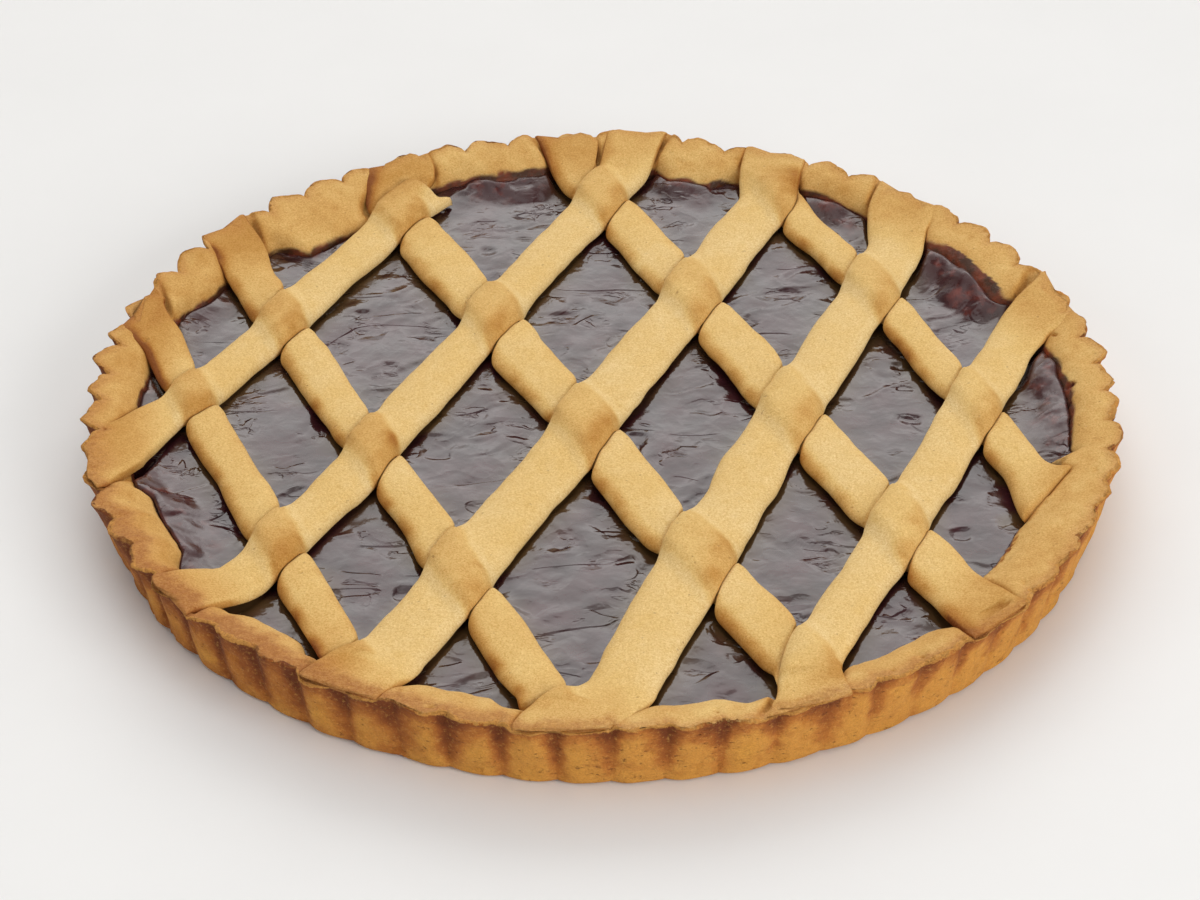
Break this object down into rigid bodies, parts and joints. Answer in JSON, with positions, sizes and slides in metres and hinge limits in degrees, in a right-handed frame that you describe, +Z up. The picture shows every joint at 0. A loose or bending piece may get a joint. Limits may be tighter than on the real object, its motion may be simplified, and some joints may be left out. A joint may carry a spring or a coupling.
{
  "type": "jam crostata",
  "caption": "Round fluted shortcrust tart filled with dark jam under an open diagonal lattice of baked pastry strips.",
  "frame": {"origin": "centre of the flat base, on the surface the tart stands on", "axes": "+Z up out of the jam; +Y away from the viewer of the picture, +X to the viewer's right"},
  "size_m": [0.2802, 0.2801, 0.0218],
  "materials": {
    "baked_crust": "baked shortcrust pastry, matt and slightly grainy",
    "baked_strip": "pale golden baked shortcrust pastry, matt",
    "jam": "dark berry jam with a glossy wrinkled skin"
  },
  "bodies": {
    "root": {"crust_shell": "baked_crust", "jam": "jam", "strip_over_1": "baked_strip", "strip_over_2": "baked_strip", "strip_over_3": "baked_strip", "strip_over_4": "baked_strip", "strip_over_5": "baked_strip", "strip_under_1": "baked_strip", "strip_under_2": "baked_strip", "strip_under_3": "baked_strip", "strip_under_4": "baked_strip", "strip_under_5": "baked_strip"}
  },
  "joints": []
}
